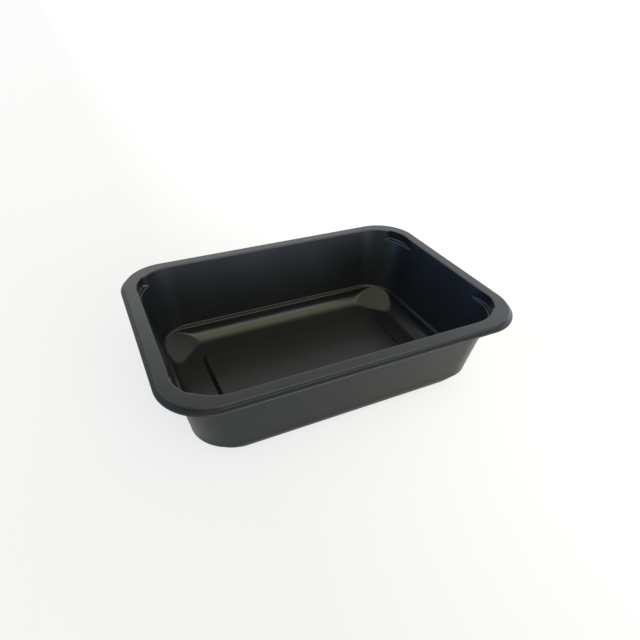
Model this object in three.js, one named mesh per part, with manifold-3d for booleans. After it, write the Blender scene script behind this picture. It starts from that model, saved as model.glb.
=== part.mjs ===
// Heat-sealable ready-meal tray, thermoformed in one piece from thin sheet.
// Millimetres, +Z up. The origin is the centre of the underside of the base,
// X runs along the long sides.
//
// The tray is made as two closed solids: the outside of the sheet filled up
// to the rim, and the hollow that the food lies in. Outside minus hollow
// leaves a shell of even thickness. Each solid is a stack of rounded
// rectangles, called stations here, from the base up to the rim.

import * as THREE from 'three';
import { mergeVertices } from 'three/addons/utils/BufferGeometryUtils.js';
import Module from 'manifold-3d';

const wasm = await Module();
wasm.setup();

// Overall size over the trimmed edge of the lip.
const LENGTH = 190;
const WIDTH = 134;
const HEIGHT = 49.5;
const RIM_RADIUS = 25;

// Sheet after forming.
const SHEET = 0.7;

// Rim: flat sealing flange, a short drop and a narrow lip around it.
const LIP_WIDTH = 2.1;
const LIP_DROP = 2.3;
const RISER_LEAN = 0.25;
const FLANGE_WIDTH = 6.2;
const OPENING_RADIUS = 22.4;
const OPENING_FILLET = 0.9;
const BEND_FILLET = 0.45;

// Wall: how far each side leans in between the flange and the ledge.
const END_TAPER = 6.0;
const SIDE_TAPER = 4.7;
const WALL_FOOT_RADIUS = 23.6;
const LEDGE_CORNER_FILLET = 0.6;

// Ledge and the foot below it.
const LEDGE_WIDTH = 3.6;
const LEDGE_EDGE_FILLET = 0.5;
const FOOT_RADIUS = 13.9;
const BAND_DROP = 3.0;
const BAND_LEAN = 0.4;
const COVE_RADIUS = 6.8;

// Slanted pads in the corners of the base.
const PAD_INSET = 27;
const PAD_SLOPE = 0.65;

// Raised panel in the middle of the base.
const PANEL_MARGIN = 13.2;
const PANEL_RISE = 1.7;
const PANEL_RUN = 2.0;
const PANEL_RADIUS = 3.6;

// Denesting pockets under the flange at the corners.
const POCKET_DEPTH = 5.8;
const POCKET_BULGE = 1.1;
const POCKET_SHIFT = 2.9;
const POCKET_END_ANGLE = 43;

// Smoothness of the corners and of the small arcs of the section.
const CORNER_STEPS = 24;
const FILLET_STEPS = 3;
const COVE_STEPS = 8;

// A station: half length, half width, corner radius and height.
function station(a, b, r, z) {
  return { a, b, r: Math.max(r, 0.3), z };
}

// The station `inset` further in than s, at height z.
function insetStation(s, inset, z) {
  return station(s.a - inset, s.b - inset, s.r - inset, z);
}

// Stations along a quarter arc that starts upright and ends flat, going down.
function arcInwards(s, radius, steps) {
  const out = [];
  for (let i = 0; i <= steps; i++) {
    const t = (i / steps) * (Math.PI / 2);
    const inset = radius * (1 - Math.cos(t));
    out.push(insetStation(s, inset, s.z - radius * Math.sin(t)));
  }
  return out;
}

// Stations along a quarter arc that starts flat and ends upright, going down.
function arcOverEdge(s, radius, steps) {
  const out = [];
  for (let i = 0; i <= steps; i++) {
    const t = (i / steps) * (Math.PI / 2);
    const inset = radius * Math.sin(t);
    out.push(insetStation(s, inset, s.z - radius * (1 - Math.cos(t))));
  }
  return out;
}

// Outline of a station as a ring of points, counter-clockwise from above.
function ringPoints(s) {
  const points = [];
  const corners = [
    [s.a - s.r, s.b - s.r, 0],
    [-(s.a - s.r), s.b - s.r, 90],
    [-(s.a - s.r), -(s.b - s.r), 180],
    [s.a - s.r, -(s.b - s.r), 270],
  ];
  for (const [cx, cy, start] of corners) {
    for (let i = 0; i <= CORNER_STEPS; i++) {
      const t = THREE.MathUtils.degToRad(start + (90 * i) / CORNER_STEPS);
      points.push(new THREE.Vector3(cx + s.r * Math.cos(t), cy + s.r * Math.sin(t), s.z));
    }
  }
  return points;
}

// Closed solid through a list of stations that starts at the bottom face
// and ends at the top face.
function loft(stations) {
  const rings = stations.map(ringPoints);
  const n = rings[0].length;
  const positions = [];
  for (const ring of rings) {
    for (const p of ring) {
      positions.push(p.x, p.y, p.z);
    }
  }
  const index = [];
  for (let k = 0; k + 1 < rings.length; k++) {
    for (let i = 0; i < n; i++) {
      const j = (i + 1) % n;
      const low = k * n;
      const high = low + n;
      index.push(low + i, low + j, high + j);
      index.push(low + i, high + j, high + i);
    }
  }
  const bottom = positions.length / 3;
  positions.push(0, 0, stations[0].z);
  const top = bottom + 1;
  positions.push(0, 0, stations[stations.length - 1].z);
  const last = (rings.length - 1) * n;
  for (let i = 0; i < n; i++) {
    const j = (i + 1) % n;
    index.push(bottom, j, i);
    index.push(top, last + i, last + j);
  }
  const geometry = new THREE.BufferGeometry();
  geometry.setAttribute('position', new THREE.Float32BufferAttribute(positions, 3));
  geometry.setIndex(index);
  return geometry;
}

// Geometry to manifold solid.
function solid(geometry) {
  const plain = geometry.clone();
  plain.deleteAttribute('normal');
  plain.deleteAttribute('uv');
  const merged = mergeVertices(plain, 1e-5);
  const mesh = new wasm.Mesh({
    numProp: 3,
    vertProperties: new Float32Array(merged.attributes.position.array),
    triVerts: new Uint32Array(merged.index.array),
  });
  mesh.merge();
  return new wasm.Manifold(mesh);
}

// Manifold solid back to geometry.
function geometryOf(body) {
  const mesh = body.getMesh();
  const geometry = new THREE.BufferGeometry();
  geometry.setAttribute('position', new THREE.BufferAttribute(mesh.vertProperties, 3));
  geometry.setIndex(new THREE.BufferAttribute(mesh.triVerts, 1));
  geometry.computeVertexNormals();
  return geometry;
}

// Main lines of the section, on the inner face of the sheet.
const outline = station(LENGTH / 2, WIDTH / 2, RIM_RADIUS, HEIGHT - LIP_DROP);
const bend = insetStation(outline, LIP_WIDTH, HEIGHT);
const opening = station(
  bend.a - FLANGE_WIDTH,
  bend.b - FLANGE_WIDTH,
  OPENING_RADIUS,
  HEIGHT,
);
const ledgeHeight = SHEET + COVE_RADIUS + BAND_DROP;
const wallFoot = station(
  opening.a - END_TAPER,
  opening.b - SIDE_TAPER,
  WALL_FOOT_RADIUS,
  ledgeHeight,
);
const footTop = station(
  wallFoot.a - LEDGE_WIDTH,
  wallFoot.b - LEDGE_WIDTH,
  FOOT_RADIUS,
  ledgeHeight,
);
const coveTop = insetStation(footTop, BAND_LEAN, SHEET + COVE_RADIUS);
const baseEdge = insetStation(coveTop, COVE_RADIUS, SHEET);

// The hollow, from the base up to above the rim.
function hollow() {
  const lipStart = station(
    opening.a + OPENING_FILLET,
    opening.b + OPENING_FILLET,
    opening.r + OPENING_FILLET,
    HEIGHT,
  );
  const down = [
    station(lipStart.a, lipStart.b, lipStart.r, HEIGHT + 2),
    ...arcOverEdge(lipStart, OPENING_FILLET, FILLET_STEPS),
    ...arcInwards(
      station(wallFoot.a, wallFoot.b, wallFoot.r, ledgeHeight + LEDGE_CORNER_FILLET),
      LEDGE_CORNER_FILLET,
      FILLET_STEPS,
    ),
    ...arcOverEdge(
      station(
        footTop.a + LEDGE_EDGE_FILLET,
        footTop.b + LEDGE_EDGE_FILLET,
        footTop.r + LEDGE_EDGE_FILLET,
        ledgeHeight,
      ),
      LEDGE_EDGE_FILLET,
      FILLET_STEPS,
    ),
    ...arcInwards(coveTop, COVE_RADIUS, COVE_STEPS),
  ];
  return solid(loft(down.reverse()));
}

// The outside of the sheet, filled up to the flange.
function outside() {
  const wallTop = insetStation(opening, -SHEET, HEIGHT - SHEET);
  const footOut = insetStation(footTop, -SHEET, ledgeHeight - SHEET);
  const ledgeOut = LEDGE_CORNER_FILLET + SHEET;
  const lipTop = outline.z;
  const lipBottom = lipTop - SHEET;
  const up = [
    ...arcInwards(insetStation(coveTop, -SHEET, coveTop.z), COVE_RADIUS + SHEET, COVE_STEPS).reverse(),
    footOut,
    ...arcInwards(
      insetStation(wallFoot, -SHEET, ledgeHeight - SHEET + ledgeOut),
      ledgeOut,
      FILLET_STEPS,
    ).reverse(),
    wallTop,
    insetStation(bend, SHEET, HEIGHT - SHEET),
    insetStation(bend, SHEET - RISER_LEAN, lipBottom),
    insetStation(outline, 0, lipBottom),
    insetStation(outline, 0, lipTop - 0.15),
    insetStation(outline, 0.15, lipTop),
    insetStation(bend, -RISER_LEAN, lipTop),
    ...bendArc(),
  ];
  return solid(loft(up));
}

// The rounding where the riser turns into the flange, going up.
function bendArc() {
  const out = [];
  for (let i = 0; i <= FILLET_STEPS; i++) {
    const t = (i / FILLET_STEPS) * (Math.PI / 2);
    const drop = BEND_FILLET * (1 - Math.sin(t));
    out.push(insetStation(bend, BEND_FILLET * (1 - Math.cos(t)), HEIGHT - drop));
  }
  return out;
}

// Runs fn for the four corners with the signs of X and Y.
function atCorners(fn) {
  const bodies = [];
  for (const sx of [1, -1]) {
    for (const sy of [1, -1]) {
      bodies.push(fn(sx, sy));
    }
  }
  return bodies;
}

// Wedge below a plane that climbs towards a corner. Its toe is the line
// across the corner where the plane leaves the base; `lower` moves the
// plane down square to itself.
function cornerWedge(sx, sy, reach, lower) {
  const toe = (coveTop.a + coveTop.b - PAD_INSET) / Math.SQRT2;
  const floor = SHEET - lower;
  const drop = lower * Math.hypot(1, PAD_SLOPE);
  const start = toe + (floor - SHEET + drop) / PAD_SLOPE;
  const climb = (reach - toe) * PAD_SLOPE + SHEET - drop;
  const profile = new THREE.Shape([
    new THREE.Vector2(start - 3 / PAD_SLOPE, floor - 3),
    new THREE.Vector2(reach, floor - 3),
    new THREE.Vector2(reach, climb),
  ]);
  const half = 40;
  const geometry = new THREE.ExtrudeGeometry(profile, { depth: 2 * half, bevelEnabled: false });
  // Shape x runs out to the corner, shape y is height, depth runs across.
  const outX = sx / Math.SQRT2;
  const outY = sy / Math.SQRT2;
  const basis = new THREE.Matrix4().makeBasis(
    new THREE.Vector3(outX, outY, 0),
    new THREE.Vector3(0, 0, 1),
    new THREE.Vector3(outY, -outX, 0),
  );
  geometry.translate(0, 0, -half);
  geometry.applyMatrix4(basis);
  return solid(geometry);
}

// Raised panel, grown by `grow` and reaching from below the base to `top`.
function panel(grow, top, floor) {
  const a = baseEdge.a - PANEL_MARGIN;
  const b = baseEdge.b - PANEL_MARGIN;
  const crown = station(a + grow, b + grow, PANEL_RADIUS + grow, top);
  const run = PANEL_RUN * ((top - floor) / PANEL_RISE);
  const foot = insetStation(crown, -run, floor);
  const below = station(foot.a, foot.b, foot.r, floor - 1);
  return solid(loft([below, foot, crown]));
}

// Pocket that lets a stacked tray rest on its corners: a slice of a
// cylinder that bulges out of the wall and ends square at one side.
function pocket(sx, sy, grow, top, bottom) {
  const cx = opening.a - opening.r;
  const cy = opening.b - opening.r;
  const turn = THREE.MathUtils.degToRad(45);
  const reach = opening.r + POCKET_BULGE - POCKET_SHIFT + grow;
  const end = THREE.MathUtils.degToRad(POCKET_END_ANGLE);
  const mx = POCKET_SHIFT * Math.cos(turn);
  const my = POCKET_SHIFT * Math.sin(turn);
  const shape = new THREE.Shape();
  shape.moveTo(mx - grow * Math.sin(end), my + grow * Math.cos(end));
  shape.lineTo(
    mx + reach * Math.cos(end) - grow * Math.sin(end),
    my + reach * Math.sin(end) + grow * Math.cos(end),
  );
  for (let i = 0; i <= 24; i++) {
    const t = end - (i / 24) * THREE.MathUtils.degToRad(70);
    shape.lineTo(mx + reach * Math.cos(t), my + reach * Math.sin(t));
  }
  shape.closePath();
  const geometry = new THREE.ExtrudeGeometry(shape, { depth: top - bottom, bevelEnabled: false });
  geometry.translate(cx, cy, bottom);
  geometry.applyMatrix4(new THREE.Matrix4().makeScale(sx, sy, 1));
  if (sx * sy < 0) {
    flip(geometry);
  }
  return solid(geometry);
}

// Turns the faces of a mirrored geometry the right way out again.
function flip(geometry) {
  const p = geometry.attributes.position;
  for (let i = 0; i + 2 < p.count; i += 3) {
    for (const axis of [0, 1, 2]) {
      const keep = p.getComponent(i + 1, axis);
      p.setComponent(i + 1, axis, p.getComponent(i + 2, axis));
      p.setComponent(i + 2, axis, keep);
    }
  }
}

function trayBody() {
  const rounding = footTop.r * (1 - Math.SQRT1_2);
  const footCorner = (footTop.a + footTop.b - 2 * rounding) / Math.SQRT2;
  const reach = footCorner + 0.2;
  let inside = hollow();
  for (const wedge of atCorners((sx, sy) => cornerWedge(sx, sy, reach, 0))) {
    inside = inside.subtract(wedge);
  }
  inside = inside.subtract(panel(0, SHEET + PANEL_RISE, SHEET));
  for (const cut of atCorners((sx, sy) => pocket(sx, sy, 0, HEIGHT + 1, HEIGHT - POCKET_DEPTH))) {
    inside = inside.add(cut);
  }

  let skin = outside();
  for (const wedge of atCorners((sx, sy) => cornerWedge(sx, sy, reach + SHEET, SHEET))) {
    skin = skin.subtract(wedge);
  }
  skin = skin.subtract(panel(-SHEET * 0.55, PANEL_RISE, 0));
  const under = HEIGHT - POCKET_DEPTH - SHEET;
  for (const lump of atCorners((sx, sy) => pocket(sx, sy, SHEET, HEIGHT - SHEET / 2, under))) {
    skin = skin.add(lump);
  }
  return skin.subtract(inside);
}

const material = new THREE.MeshStandardMaterial({
  color: 0x24262a,
  roughness: 0.42,
  metalness: 0,
});

const tray = new THREE.Mesh(geometryOf(trayBody()), material);
tray.name = 'tray';

const part = new THREE.Group();
part.name = 'heat_sealable_tray';
part.add(tray);

export default part;
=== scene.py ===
# %% [markdown]
# # A heat-sealable ready-meal tray
#
# The object is a black single-meal tray. A sheet of polyester, about 0.7 mm
# thick, is heated until it is soft and drawn by air pressure into a mould.
# Everything that we see is one sheet: the flat flange that the lidding film
# is sealed to, the small lip around it, the wall, the ledge, the rounded
# foot, the slanted pads in the corners and the raised panel in the base.
#
# The model loaded below is the measured CAD model. We build a finer skin in the
# same place, because a formed sheet has no sharp edges: every fold is a
# small radius, and on black plastic those radii are what catches the light.

import math

import bpy
import numpy as np
from mathutils import Matrix, Vector


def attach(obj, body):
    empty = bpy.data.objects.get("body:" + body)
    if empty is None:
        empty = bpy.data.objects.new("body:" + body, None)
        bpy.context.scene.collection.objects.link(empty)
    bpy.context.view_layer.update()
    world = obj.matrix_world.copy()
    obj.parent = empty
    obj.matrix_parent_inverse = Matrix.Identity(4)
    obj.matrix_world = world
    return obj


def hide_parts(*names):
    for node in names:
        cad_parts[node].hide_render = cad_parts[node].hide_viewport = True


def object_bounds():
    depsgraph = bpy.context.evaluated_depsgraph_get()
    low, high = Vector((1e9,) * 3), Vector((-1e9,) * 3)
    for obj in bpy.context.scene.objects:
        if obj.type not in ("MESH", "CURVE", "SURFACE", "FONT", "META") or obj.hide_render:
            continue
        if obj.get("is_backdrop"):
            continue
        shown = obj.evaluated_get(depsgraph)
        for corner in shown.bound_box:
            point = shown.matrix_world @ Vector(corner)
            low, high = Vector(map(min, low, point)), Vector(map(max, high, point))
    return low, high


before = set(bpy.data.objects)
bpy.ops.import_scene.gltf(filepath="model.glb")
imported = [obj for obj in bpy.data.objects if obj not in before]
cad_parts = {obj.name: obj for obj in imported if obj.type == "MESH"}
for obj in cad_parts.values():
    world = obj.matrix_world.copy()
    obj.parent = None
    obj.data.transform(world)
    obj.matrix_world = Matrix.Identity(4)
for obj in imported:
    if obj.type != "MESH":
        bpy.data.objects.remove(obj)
cad_low, cad_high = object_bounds()
MM = 0.001
print("CAD node:", sorted(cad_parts), "from", tuple(cad_low), "to", tuple(cad_high))


# %% [markdown]
# ## The section of the sheet
#
# A tray like this is easiest to describe by its section, the line that a
# saw cut would show. We write the section as a list of stations. A station
# is a rounded rectangle: half its length, half its width, its corner radius
# and its height. Between two stations the sheet runs straight, and a fold
# is a few stations on a quarter circle.
#
# A lathe would do for a round bowl. Here each station has its own corner
# radius, since the mould is softer at the rim than at the foot, so we keep
# the four numbers apart instead of scaling one outline.

# %% Sizes of the tray, in millimetres
LENGTH, WIDTH, HEIGHT = (round((high - low) / MM, 3) for low, high in zip(cad_low, cad_high))
RIM_RADIUS = 25.0
# The sheet is drawn thinnest around the foot, where THIN is its thickness.
SHEET, THIN = 0.7, 0.45
LIP_WIDTH, LIP_DROP, LIP_FALL, RISER_LEAN = 2.1, 2.3, 0.4, 0.02
FLANGE_WIDTH, OPENING_RADIUS = 6.2, 22.4
END_TAPER, SIDE_TAPER, WALL_FOOT_RADIUS = 7.4, 5.85, 19.5
LEDGE_AT_ENDS, LEDGE_AT_SIDES, LEDGE_FALL, FOOT_RADIUS = 1.7, 2.5, 0.2, 13.7
BAND_DROP, BAND_LEAN, COVE_RADIUS, COVE_HEIGHT = 1.4, 0.2, 8.4, 8.7
PAD_INSET, PAD_SLOPE = 27.85, 0.65
PANEL_MARGIN, PANEL_RISE, PANEL_RUN, PANEL_RADIUS = 12.4, 1.7, 2.0, 3.6
POCKET_DEPTH, POCKET_BULGE, POCKET_SHIFT = 5.8, 1.1, 2.9
print("sizes:", LENGTH, "x", WIDTH, "x", HEIGHT, "mm, of sheet", SHEET, "mm thick")

# %% Stations at the main levels
SMALLEST_CORNER = 0.3


class Station:
    """A rounded rectangle at one height; pocket says how far the pockets are open here."""

    def __init__(self, a, b, r, z, pocket=0.0):
        self.a, self.b, self.z, self.pocket = a, b, z, pocket
        self.r = max(r, SMALLEST_CORNER)

    def inset(self, by, z=None, pocket=None):
        """The same outline drawn in by this much all round, perhaps at another height."""
        return Station(
            self.a - by,
            self.b - by,
            self.r - by,
            self.z if z is None else z,
            self.pocket if pocket is None else pocket,
        )


outline = Station(LENGTH / 2, WIDTH / 2, RIM_RADIUS, HEIGHT - LIP_DROP)
bend = outline.inset(LIP_WIDTH, HEIGHT)
opening = Station(bend.a - FLANGE_WIDTH, bend.b - FLANGE_WIDTH, OPENING_RADIUS, HEIGHT, 1.0)
LEDGE_Z = SHEET + COVE_RADIUS + BAND_DROP
wall_foot = Station(opening.a - END_TAPER, opening.b - SIDE_TAPER, WALL_FOOT_RADIUS, LEDGE_Z)
foot_top = Station(
    wall_foot.a - LEDGE_AT_ENDS,
    wall_foot.b - LEDGE_AT_SIDES,
    FOOT_RADIUS,
    LEDGE_Z,
)
cove_top = foot_top.inset(BAND_LEAN, SHEET + COVE_RADIUS)
base_edge = cove_top.inset(COVE_RADIUS, SHEET)
print("ledge height", round(LEDGE_Z, 2), "mm; opening", 2 * opening.a, "x", 2 * opening.b, "mm")


# %% Straight runs and folds between stations
def mix(low, high, t):
    """Half length, half width and corner radius at the share t of the way from low to high."""
    return [getattr(low, k) + (getattr(high, k) - getattr(low, k)) * t for k in "abr"]


def between(start, end, count, first=True):
    """Stations in count equal steps; first says whether the start is one of them."""
    out = []
    for i in range(0 if first else 1, count + 1):
        t = i / count
        level = start.z + (end.z - start.z) * t
        pocket = start.pocket + (end.pocket - start.pocket) * t
        out.append(Station(*mix(start, end, t), level, pocket))
    return out


def arc(centre, radius, count, start, end):
    """Stations on a circle around centre; angles in degrees, from straight out, upwards."""
    out = []
    for i in range(count + 1):
        t = math.radians(start + (end - start) * i / count)
        out.append(centre.inset(-radius * math.cos(t), centre.z + radius * math.sin(t)))
    return out


print("a fold of five steps has", len(arc(outline, 1.0, 5, 0, 90)), "stations")

# %% [markdown]
# ## Folding the section
#
# We walk along the sheet from the middle of the base, up the inside, over
# the rim, around the trimmed edge of the lip, and down the outside again to
# the middle of the underside. Each fold gets the radius that a 0.7 mm sheet
# takes when it is drawn over a mould edge: half a millimetre or less on the
# inside of a fold, and up to a sheet's thickness more on the outside.

# %% The base and the slope of its panel
PANEL_FOLD, PANEL_FOLD_OUTSIDE = 0.3, 0.7


def s_fold(crown, foot, crown_radius, foot_radius, steps=5):
    """Stations down a slope between two flat levels, with both edges rounded off."""
    run = foot.a - crown.a
    drop = crown.z - foot.z
    slope = math.atan2(drop, run)
    cut_top = crown_radius * math.tan(slope / 2)
    cut_low = foot_radius * math.tan(slope / 2)
    out = []
    for i in range(steps + 1):
        t = slope * i / steps
        x = -cut_top + crown_radius * math.sin(t)
        out.append(crown.inset(-x, crown.z - crown_radius * (1 - math.cos(t))))
    for i in range(steps, -1, -1):
        t = slope * i / steps
        x = run + cut_low - foot_radius * math.sin(t)
        out.append(crown.inset(-x, foot.z + foot_radius * (1 - math.cos(t))))
    return out


def base_stations(level, grow, side):
    """Base from the middle to the edge of the cove; side is 1 on the food side, -1 beneath."""
    a = base_edge.a - PANEL_MARGIN + grow
    b = base_edge.b - PANEL_MARGIN + grow
    crown = Station(a, b, PANEL_RADIUS + grow, level + PANEL_RISE)
    foot = crown.inset(-PANEL_RUN, level)
    radii = (PANEL_FOLD, PANEL_FOLD_OUTSIDE)[::side]
    # The innermost ring is a fiftieth of the panel, and a flat cap closes it.
    centre = Station(a * 0.02, b * 0.02, 0.0, crown.z)
    riser = s_fold(crown, foot, *radii)
    inner = between(centre, riser[0], 7)[:-1]
    edge = base_edge.inset(0, level)
    flat = between(riser[-1], edge, 34 if side > 0 else 22)[1:-1]
    return inner + riser + flat


print("base:", len(base_stations(SHEET, 0.0, 1)), "stations on the food side")

# %% The inside: cove, ledge, wall and pockets
FOLD, WALL_FOLD = 0.4, 0.5


def on_wall(low, high, z, pocket):
    """The station at height z on the straight wall between two stations."""
    return Station(*mix(low, high, (z - low.z) / (high.z - low.z)), z, pocket)


def inner_stations():
    """The food side, from the middle of the base up to the edge of the opening."""
    out = base_stations(SHEET, 0.0, 1)
    # Cove: a quarter ellipse, a little taller than wide, from flat up to the steep band.
    for i in range(27):
        t = math.radians(90 * i / 26)
        reach = COVE_RADIUS * math.sin(t)
        out.append(base_edge.inset(-reach, SHEET + COVE_HEIGHT * (1 - math.cos(t))))
    brow = LEDGE_Z - LEDGE_FALL
    edge = foot_top.inset(0, brow)
    out += between(out[-1], edge.inset(FOLD * 0.1, brow - FOLD), 5, first=False)
    out += arc(edge.inset(-FOLD, brow - FOLD), FOLD, 5, 180, 96)[1:]
    root = wall_foot.inset(WALL_FOLD, LEDGE_Z + WALL_FOLD)
    out += between(out[-1], wall_foot.inset(WALL_FOLD, LEDGE_Z), 3, first=False)
    out += arc(root, WALL_FOLD, 5, -90, 0)[1:]
    # Wall up to the floor of the pockets, the pocket step, then up to the fillet of the opening.
    top = opening.inset(0, HEIGHT - WALL_FOLD, 1.0)
    sill = HEIGHT - POCKET_DEPTH
    start = out[-1]
    steps = [(-0.6, 0), (-0.12, 0), (-0.03, 0.12), (0.03, 0.5), (0.09, 0.88), (0.25, 1)]
    wall = [on_wall(start, top, sill + rise, pocket) for rise, pocket in steps]
    out += between(start, wall[0], 7, first=False) + wall[1:]
    out += between(wall[-1], top, 5, first=False)
    out += arc(opening.inset(-WALL_FOLD, HEIGHT - WALL_FOLD), WALL_FOLD, 6, 180, 90)[1:]
    return out


inside = inner_stations()
print("inside:", len(inside), "stations")

# %% The flange, the riser and the lip
LIP_FOLD = 0.28


def rim_stations(start):
    """Along the flange, down the riser, around the cut edge of the lip and back beneath it."""
    out = between(start, bend.inset(LIP_FOLD, HEIGHT, 0.0), 6, first=False)
    out += arc(bend.inset(LIP_FOLD, HEIGHT - LIP_FOLD), LIP_FOLD, 5, 90, 2)
    lip = HEIGHT - LIP_DROP
    root = lip + LIP_FALL
    out += [bend.inset(-RISER_LEAN * 0.85, root + 0.15)]
    out += arc(bend.inset(-RISER_LEAN - 0.12, root + 0.12), 0.12, 3, 180, 258)
    out += between(out[-1], outline.inset(0.3, lip + 0.04), 3, first=False)
    out += [outline.inset(0.1, lip - 0.06), outline.inset(0, lip - 0.2)]
    low = lip - SHEET
    out += [outline.inset(0, low + 0.16), outline.inset(0.05, low + 0.03), outline.inset(0.16, low)]
    out += [bend.inset(-RISER_LEAN, low), bend.inset(SHEET - RISER_LEAN - 0.05, low + 0.12)]
    out += [bend.inset(SHEET, HEIGHT - SHEET - 0.3), bend.inset(SHEET + 0.25, HEIGHT - SHEET)]
    return out


rim = rim_stations(inside[-1])
print("rim:", len(rim), "stations")


# %% The outside
def outer_stations(start):
    """Beneath the flange and down the outside to the middle of the underside."""
    under = HEIGHT - SHEET
    top = opening.inset(-SHEET, under, 1.0)
    out = between(start, top.inset(-0.3, under, 1.0), 3, first=False)
    out += [top.inset(-0.08, under - 0.1)]
    sill = HEIGHT - POCKET_DEPTH - SHEET
    end = wall_foot.inset(-SHEET, LEDGE_Z + 0.6)
    steps = [(0.5, 1), (0.15, 0.9), (0, 0.5), (-0.15, 0)]
    wall = [on_wall(end, top, sill + rise, pocket) for rise, pocket in steps]
    out += between(out[-1], wall[0], 4, first=False) + wall[1:]
    out += between(wall[-1], end, 6, first=False)
    # The lower edge of the wall is rounded off by more than the thickness of the sheet.
    fold = 0.8
    out += arc(wall_foot.inset(fold - SHEET, LEDGE_Z - SHEET + fold), fold, 6, 0, -90)[1:]
    out += between(out[-1], foot_top.inset(-SHEET - 0.15, LEDGE_Z - SHEET), 3, first=False)
    out += [foot_top.inset(-THIN - 0.08, LEDGE_Z - SHEET - 0.1)]
    out += [foot_top.inset(-THIN, LEDGE_Z - SHEET - 0.4)]
    # The outer cove lies closer to the inner one, since the sheet is thin here.
    for i in range(19):
        t = math.radians(90 * i / 18)
        reach = (COVE_RADIUS + THIN) * math.cos(t)
        out.append(base_edge.inset(-reach, (SHEET + COVE_RADIUS) * (1 - math.sin(t))))
    out += list(reversed(base_stations(0.0, -SHEET * 0.55, -1)))
    return out


outside = outer_stations(rim[-1])
stations = inside + rim + outside
print("outside:", len(outside), "stations, in all", len(stations))

# %% [markdown]
# ## Corners, pads and pockets
#
# Two things break the rounded rectangles. The corner pads are flat slanted
# facets: where the plane of a pad lies above the base or the cove, the
# sheet follows the plane. Taking the higher of two surfaces leaves a sharp
# crease, so we use a smooth maximum, which blends them over a short width,
# the way the sheet does.
#
# The denesting pockets are bulges under the flange. When trays are stacked
# they rest on the pocket floors and don't wedge. Here every station near
# the rim is pushed out to a circle, from the middle of the corner towards
# the short side.

# %% Points of one station
CORNER_POINTS, STRAIGHT_POINTS = 44, 24


def ring(station):
    """Points of a station, counter-clockwise, denser near the corners."""
    spread = (np.arange(STRAIGHT_POINTS) / STRAIGHT_POINTS) ** 1.7
    turn = np.radians(np.linspace(0, 90, CORNER_POINTS + 1))
    cx, cy = station.a - station.r, station.b - station.r
    corner = np.c_[cx + station.r * np.cos(turn), cy + station.r * np.sin(turn)]
    side_x = np.c_[np.full(STRAIGHT_POINTS, station.a), cy * (1 - spread)][1:][::-1]
    side_y = np.c_[cx * (1 - spread), np.full(STRAIGHT_POINTS, station.b)][1:]
    start = np.array([[station.a, 0.0]])
    quarter = np.vstack([start, side_x, corner, side_y])
    second = np.vstack([[0.0, station.b], (quarter[1:] * [-1, 1])[::-1]])
    half = np.vstack([quarter, second])
    return np.vstack([half, -half])


print("a ring has", len(ring(outline)), "points")

# %% Denesting pockets
# A pocket runs from the short side round to its end in the corner.
POCKET_START, POCKET_END, POCKET_FADE = (math.radians(a) for a in (-35, 43, 1.6))


def push_pockets(xy, amount, grow):
    """Moves points near the corners out to the pocket circle."""
    if amount <= 0:
        return xy
    cx, cy = opening.a - opening.r, opening.b - opening.r
    from_corner = np.abs(xy) - [cx, cy]
    shift = POCKET_SHIFT * math.sqrt(0.5)
    from_pocket = from_corner - [shift, shift]
    reach = opening.r + POCKET_BULGE - POCKET_SHIFT + grow
    dist = np.hypot(from_pocket[:, 0], from_pocket[:, 1])
    angle = np.arctan2(from_corner[:, 1], from_corner[:, 0])
    edge = POCKET_END + grow / opening.r
    end = np.clip((edge - angle) / POCKET_FADE + 0.5, 0, 1)
    end = end * end * (3 - 2 * end)
    near = (from_corner[:, 0] > 0) & (angle > POCKET_START)
    lack = np.where(near, np.maximum(reach - dist, 0), 0) * end * amount
    lack = np.where(dist > 1, lack, 0)
    out = from_pocket + from_pocket / np.maximum(dist, 1e-6)[:, None] * lack[:, None]
    return np.sign(np.where(xy == 0, 1, xy)) * (out + [shift, shift] + [cx, cy])


moved = push_pockets(ring(opening), 1.0, 0.0) - ring(opening)
print("a pocket moves the wall by up to", round(float(np.abs(moved).max()), 2), "mm")

# %% Corner pads, and all the rings
PAD_FOLD = 0.35


def smooth_max(a, b, width):
    """The larger of a and b, blended over width where they are close."""
    h = np.clip(0.5 + 0.5 * (b - a) / width, 0, 1)
    return a * (1 - h) + b * h + width * h * (1 - h)


def pad_height(xy, lower):
    """Height of the pad planes over a point; lower moves them down square to themselves."""
    along = (np.abs(xy[:, 0]) + np.abs(xy[:, 1])) * math.sqrt(0.5)
    toe = (cove_top.a + cove_top.b - PAD_INSET) * math.sqrt(0.5)
    return SHEET + (along - toe) * PAD_SLOPE - lower * math.hypot(1, PAD_SLOPE)


# The first rings of the rim still belong to the upper face of the flange.
first_outside = len(inside) + 10
points = []
for k, s in enumerate(stations):
    on_outside = k >= first_outside
    xy = push_pockets(ring(s), s.pocket, SHEET if on_outside else 0.0)
    z = np.full(len(xy), s.z)
    if s.z < LEDGE_Z - 0.2:
        lower = SHEET if on_outside else 0.0
        limit = LEDGE_Z - 0.15 - lower
        z = np.minimum(smooth_max(z, pad_height(xy, lower), PAD_FOLD), np.maximum(limit, z))
    points.append(np.c_[xy, z])
points = np.array(points)
print("rings", points.shape[0], "of", points.shape[1], "points")

# %% [markdown]
# ## One closed skin
#
# The rings become one mesh: quads between neighbouring rings, and a flat cap
# in the middle of the base, above and below. The mesh stays one closed
# skin, like the sheet itself. Smooth shading is right everywhere, because
# all folds are real radii, and the cut edge of the lip has close rings too.

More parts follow.
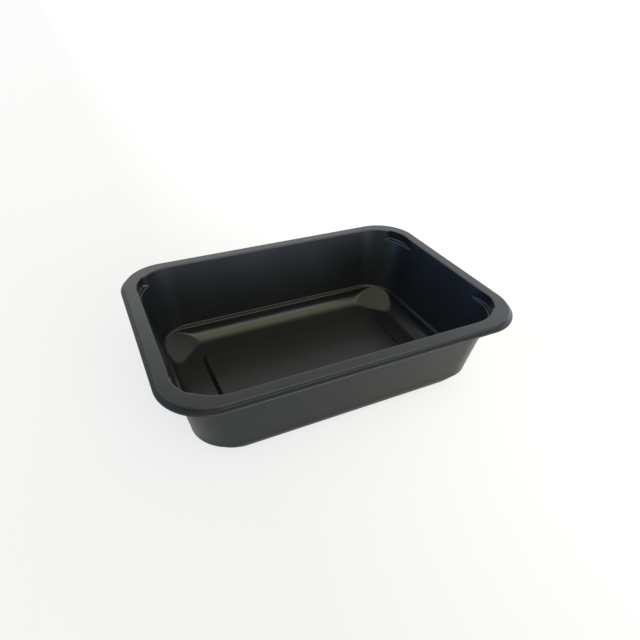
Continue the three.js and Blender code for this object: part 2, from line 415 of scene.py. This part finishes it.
# %% Build the mesh and let it stand for the CAD node
count, around = points.shape[:2]
verts = points.reshape(-1, 3) * MM
i = np.arange(around)
j = (i + 1) % around
quads = []
for k in range(count - 1):
    low, high = k * around, (k + 1) * around
    quads.append(np.c_[low + i, low + j, high + j, high + i])
quads = np.vstack(quads)[:, ::-1]
faces = [tuple(int(v) for v in q) for q in quads]
faces.append(tuple(int(v) for v in i))
faces.append(tuple(int(v) for v in ((count - 1) * around + i)[::-1]))

mesh = bpy.data.meshes.new("formed_sheet")
mesh.from_pydata([tuple(v) for v in verts], [], faces)
mesh.update()
mesh.validate()
mesh.polygons.foreach_set("use_smooth", [True] * len(mesh.polygons))
skin = bpy.data.objects.new("formed_sheet", mesh)
bpy.context.scene.collection.objects.link(skin)
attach(skin, "root")
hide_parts("tray")
print("skin:", len(mesh.vertices), "vertices,", sum(len(f) - 2 for f in faces), "triangles")

# %% [markdown]
# ## Black formed polyester
#
# The plastic is polyester with carbon black, so its own colour is nearly
# black and most of what we see is the room mirrored in a satin surface.
# The refractive index of solid polyester is about 1.57; 1.5 is used here,
# since the skin of a sheet with carbon black and a fine grain mirrors a
# little less than a polished face. Two patterns keep the surface from
# looking like paint: a fine grain from the mould, and long soft waves where
# the sheet cooled unevenly. Roughness varies a little with the same waves.


# %% Colours and nodes
def srgb(text):
    """#rrggbb as linear colour with alpha."""
    out = []
    for k in (1, 3, 5):
        c = int(text[k : k + 2], 16) / 255
        out.append(c / 12.92 if c <= 0.04045 else ((c + 0.055) / 1.055) ** 2.4)
    return (*out, 1.0)


def node(tree, kind, settings=None, links=None):
    """Adds a node, sets its fields and input values, and links other outputs into its inputs."""
    made = tree.nodes.new(kind)
    for name, value in (settings or {}).items():
        if isinstance(name, int) or name in made.inputs:
            made.inputs[name].default_value = value
        else:
            setattr(made, name, value)
    for name, source in (links or {}).items():
        tree.links.new(source, made.inputs[name])
    return made


DEEP_BLACK, SOFT_BLACK = srgb("#101214"), srgb("#141719")
print("colour of the plastic, linear:", round(DEEP_BLACK[1], 4), "to", round(SOFT_BLACK[1], 4))

# %% The plastic
# The grain is drawn coarser than the mould's own, which would be too fine to show.
GRAIN, WAVES = 0.385 * MM, 35.7 * MM


def formed_polyester():
    mat = bpy.data.materials.new("black_formed_polyester")
    mat.use_nodes = True
    tree = mat.node_tree
    tree.nodes.clear()
    where = node(tree, "ShaderNodeTexCoord").outputs["Object"]
    grain = node(
        tree,
        "ShaderNodeTexNoise",
        {"Scale": 1 / GRAIN, "Detail": 2.0, "Roughness": 0.55},
        {"Vector": where},
    )
    waves = node(
        tree,
        "ShaderNodeTexNoise",
        {"Scale": 1 / WAVES, "Detail": 3.0, "Roughness": 0.5},
        {"Vector": where},
    )
    tone = node(
        tree,
        "ShaderNodeMixRGB",
        {"Color1": DEEP_BLACK, "Color2": SOFT_BLACK},
        {"Fac": waves.outputs["Fac"]},
    )
    rough = node(
        tree,
        "ShaderNodeMapRange",
        {"From Min": 0.3, "From Max": 0.7, "To Min": 0.28, "To Max": 0.33},
        {"Value": waves.outputs["Fac"]},
    )
    fine = node(
        tree,
        "ShaderNodeBump",
        {"Strength": 0.08, "Distance": 0.05 * MM},
        {"Height": grain.outputs["Fac"]},
    )
    soft = node(
        tree,
        "ShaderNodeBump",
        {"Strength": 0.12, "Distance": 0.6 * MM},
        {"Height": waves.outputs["Fac"], "Normal": fine.outputs["Normal"]},
    )
    shader = node(
        tree,
        "ShaderNodeBsdfPrincipled",
        {"IOR": 1.5, "Metallic": 0.0},
        {
            "Base Color": tone.outputs["Color"],
            "Roughness": rough.outputs["Result"],
            "Normal": soft.outputs["Normal"],
        },
    )
    node(tree, "ShaderNodeOutputMaterial", {}, {"Surface": shader.outputs["BSDF"]})
    return mat


mesh.materials.append(formed_polyester())
print("material:", mesh.materials[0].name)

# %% [markdown]
# ## Floor
#
# The photo is a product shot on white. The camera should see white behind
# the tray, but a white floor would throw too much light up onto the outer
# wall. So the floor is a pale grey paper for the light, and Light Path mixes
# white into it for camera and transmission rays, and a smaller share for
# glossy rays. It still keeps the shadow of the tray. Its colour is painted
# lighter to the right, a painted pool of light from the right, which the outer
# wall mirrors. It lies a twentieth of a millimetre low, so it never meets the underside.

# %% Floor
FLOOR_REACH, FLOOR_Z = 8.0, -0.05 * MM
WHITE_SHARE, GLOSSY_SHARE = 0.72, 0.2

scene = bpy.context.scene
floor_mesh = bpy.data.meshes.new("floor")
around_middle = [(-1, -1), (1, -1), (1, 1), (-1, 1)]
corners = [(x * FLOOR_REACH, y * FLOOR_REACH, FLOOR_Z) for x, y in around_middle]
floor_mesh.from_pydata(corners, [], [(0, 1, 2, 3)])
floor = bpy.data.objects.new("floor", floor_mesh)
scene.collection.objects.link(floor)
paper = bpy.data.materials.new("studio_paper")
paper.use_nodes = True
paper_tree = paper.node_tree
paper_tree.nodes.clear()
place_on_floor = node(paper_tree, "ShaderNodeTexCoord").outputs["Object"]
spot = node(paper_tree, "ShaderNodeSeparateXYZ", {}, {"Vector": place_on_floor})
# Painted light: the paper's colour runs from grey at the left to white at the right, a painted pool
# of light from the right.
side = node(
    paper_tree,
    "ShaderNodeMapRange",
    {"From Min": -0.06, "From Max": 0.1},
    {"Value": spot.outputs["X"]},
)
painted_light_tint = node(
    paper_tree,
    "ShaderNodeMixRGB",
    {"Color1": srgb("#cdcfcf"), "Color2": srgb("#ffffff")},
    {"Fac": side.outputs["Result"]},
)
matt = node(
    paper_tree,
    "ShaderNodeBsdfDiffuse",
    {"Roughness": 0.5},
    {"Color": painted_light_tint.outputs["Color"]},
)
glow = node(paper_tree, "ShaderNodeEmission", {"Color": (1, 1, 1, 1), "Strength": 1.0})


def straight_rays(tree, path):
    """1 for camera and transmission rays, 0 for all others."""
    rays = {0: path.outputs["Is Camera Ray"], 1: path.outputs["Is Transmission Ray"]}
    return node(tree, "ShaderNodeMath", {"operation": "MAXIMUM"}, rays).outputs[0]


def blend_shaders(tree, share, first, second):
    """Mixes two shaders; share is how much of the second is seen."""
    blend = node(tree, "ShaderNodeMixShader", {}, {"Fac": share})
    tree.links.new(first.outputs[0], blend.inputs[1])
    tree.links.new(second.outputs[0], blend.inputs[2])
    return blend.outputs[0]


eye = node(paper_tree, "ShaderNodeLightPath")
mirrored = node(
    paper_tree,
    "ShaderNodeMath",
    {"operation": "MULTIPLY", 1: GLOSSY_SHARE},
    {0: eye.outputs["Is Glossy Ray"]},
)
share = node(
    paper_tree,
    "ShaderNodeMath",
    {"operation": "MULTIPLY_ADD", 1: WHITE_SHARE},
    {0: straight_rays(paper_tree, eye), 2: mirrored.outputs[0]},
)
paper_look = blend_shaders(paper_tree, share.outputs[0], matt, glow)
node(paper_tree, "ShaderNodeOutputMaterial", {}, {"Surface": paper_look})
floor_mesh.materials.append(paper)
floor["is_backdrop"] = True
print("floor:", paper.name, "reaching", FLOOR_REACH, "m each way")

# %% [markdown]
# ## Surround
#
# Black satin plastic shows little colour of its own, so what it mirrors
# matters more than how bright the light is. All light here comes from the
# surround: a pale sky whose colour changes from the horizon to the top, with
# soft round windows in it. Area lamps would do too. A window in the world is
# chosen because its soft edge is one number, and because no lamp then stands
# in the room when the tray is seen from another side. The warm window high
# in front draws the line along the cove at the far side, and the cooler ones
# low at the sides give the walls their blue cast. Camera and transmission
# rays see plain white instead.

# %% Sky
world = bpy.data.worlds.new("studio")
scene.world = world
world.use_nodes = True
world_tree = world.node_tree
world_tree.nodes.clear()
path = node(world_tree, "ShaderNodeLightPath")
way = node(world_tree, "ShaderNodeTexCoord").outputs["Generated"]
axes = node(world_tree, "ShaderNodeSeparateXYZ", {}, {"Vector": way})
rise = node(world_tree, "ShaderNodeValToRGB", {}, {"Fac": axes.outputs["Z"]})
SKY = {0.0: "#b4d2fc", 0.28: "#e4ecf8", 0.42: "#ffffff", 0.62: "#b2b1ad", 1.0: "#c2c0b8"}
ramp = rise.color_ramp
while len(ramp.elements) < len(SKY):
    ramp.elements.new(0.5)
for element, (at, colour) in zip(ramp.elements, SKY.items()):
    element.position = at
    element.color = srgb(colour)
print("sky:", len(ramp.elements), "colours from the horizon up")


# %% Windows
def add_window(light, centre, full, edge, colour, strength):
    """Adds a soft round window: full out to one angle, gone at the other, in degrees."""
    toward = Vector(centre).normalized()
    dot = node(world_tree, "ShaderNodeVectorMath", {"operation": "DOT_PRODUCT"}, {0: way})
    dot.inputs[1].default_value = toward
    limits = {"From Min": math.cos(math.radians(edge)), "From Max": math.cos(math.radians(full))}
    near = node(
        world_tree,
        "ShaderNodeMapRange",
        {"interpolation_type": "SMOOTHSTEP", **limits},
        {"Value": dot.outputs["Value"]},
    )
    glow = tuple(c * strength for c in srgb(colour)[:3]) + (1.0,)
    mixed = node(
        world_tree,
        "ShaderNodeMixRGB",
        {"blend_type": "ADD", "Color2": glow},
        {"Fac": near.outputs["Result"], "Color1": light},
    )
    return mixed.outputs["Color"]


# Direction, angles of full light and of none, colour and strength.
WINDOWS = {
    "warm, high in front": ((0.1, -0.62, 0.77), 12, 52, "#fbf6c0", 1.55),
    "cool, low in front": ((0.4, -0.92, 0.02), 10, 34, "#d4e2f8", 7.0),
    "white, high on the right": ((0.8, 0.45, 0.48), 8, 40, "#f4f6fa", 0.35),
    "cool, low on the right": ((1.0, 0.3, 0.0), 12, 38, "#dbe6f4", 1.8),
    "blue, low on the left": ((-1.0, 0.3, 0.0), 12, 44, "#84b6fa", 3.4),
    "white, behind": ((0.16, 0.87, 0.42), 8, 23, "#fafafa", 0.65),
}
light = rise.outputs["Color"]
for window in WINDOWS.values():
    light = add_window(light, *window)
seen = node(world_tree, "ShaderNodeBackground", {"Color": (1, 1, 1, 1), "Strength": 1.0})
fill = node(world_tree, "ShaderNodeBackground", {"Strength": 1.0}, {"Color": light})
surround = blend_shaders(world_tree, straight_rays(world_tree, path), fill, seen)
node(world_tree, "ShaderNodeOutputWorld", {}, {"Surface": surround})
print("windows:", "; ".join(WINDOWS))

# %% [markdown]
# ## Camera
#
# The place, lens and tilt of the camera come from matching the outlines of
# flange, ledge and lower edge to the photo. The field of view is wide, so
# the camera stands close, about 30 cm from the middle of the tray.

# %% Camera
camera_data = bpy.data.cameras.new("camera")
camera_data.lens = 28.92
camera_data.sensor_width = 36.0
camera_data.shift_x = 0.0140
camera_data.shift_y = 0.0015
camera_data.clip_start = 0.01
camera = bpy.data.objects.new("camera", camera_data)
place = Vector((-0.10639, -0.21496, 0.19568))
aim = Vector((0.00287, 0.00736, 0.025))
look = (aim - place).to_track_quat("-Z", "Y").to_matrix().to_4x4()
roll = Matrix.Rotation(math.radians(1.65), 4, "Z")
camera.matrix_world = Matrix.Translation(place) @ look @ roll
scene.collection.objects.link(camera)
scene.camera = camera
scene.view_settings.view_transform = "Standard"
print("camera", tuple(round(v, 4) for v in camera.location))

# %% [markdown]
# ## Size of the skin
#
# The box around the skin, without the floor, is printed, so that its size
# can be set beside the box of the CAD model printed when it was loaded.

# %% Size of the skin
low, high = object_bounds()
print("visual box", tuple(low), tuple(high))
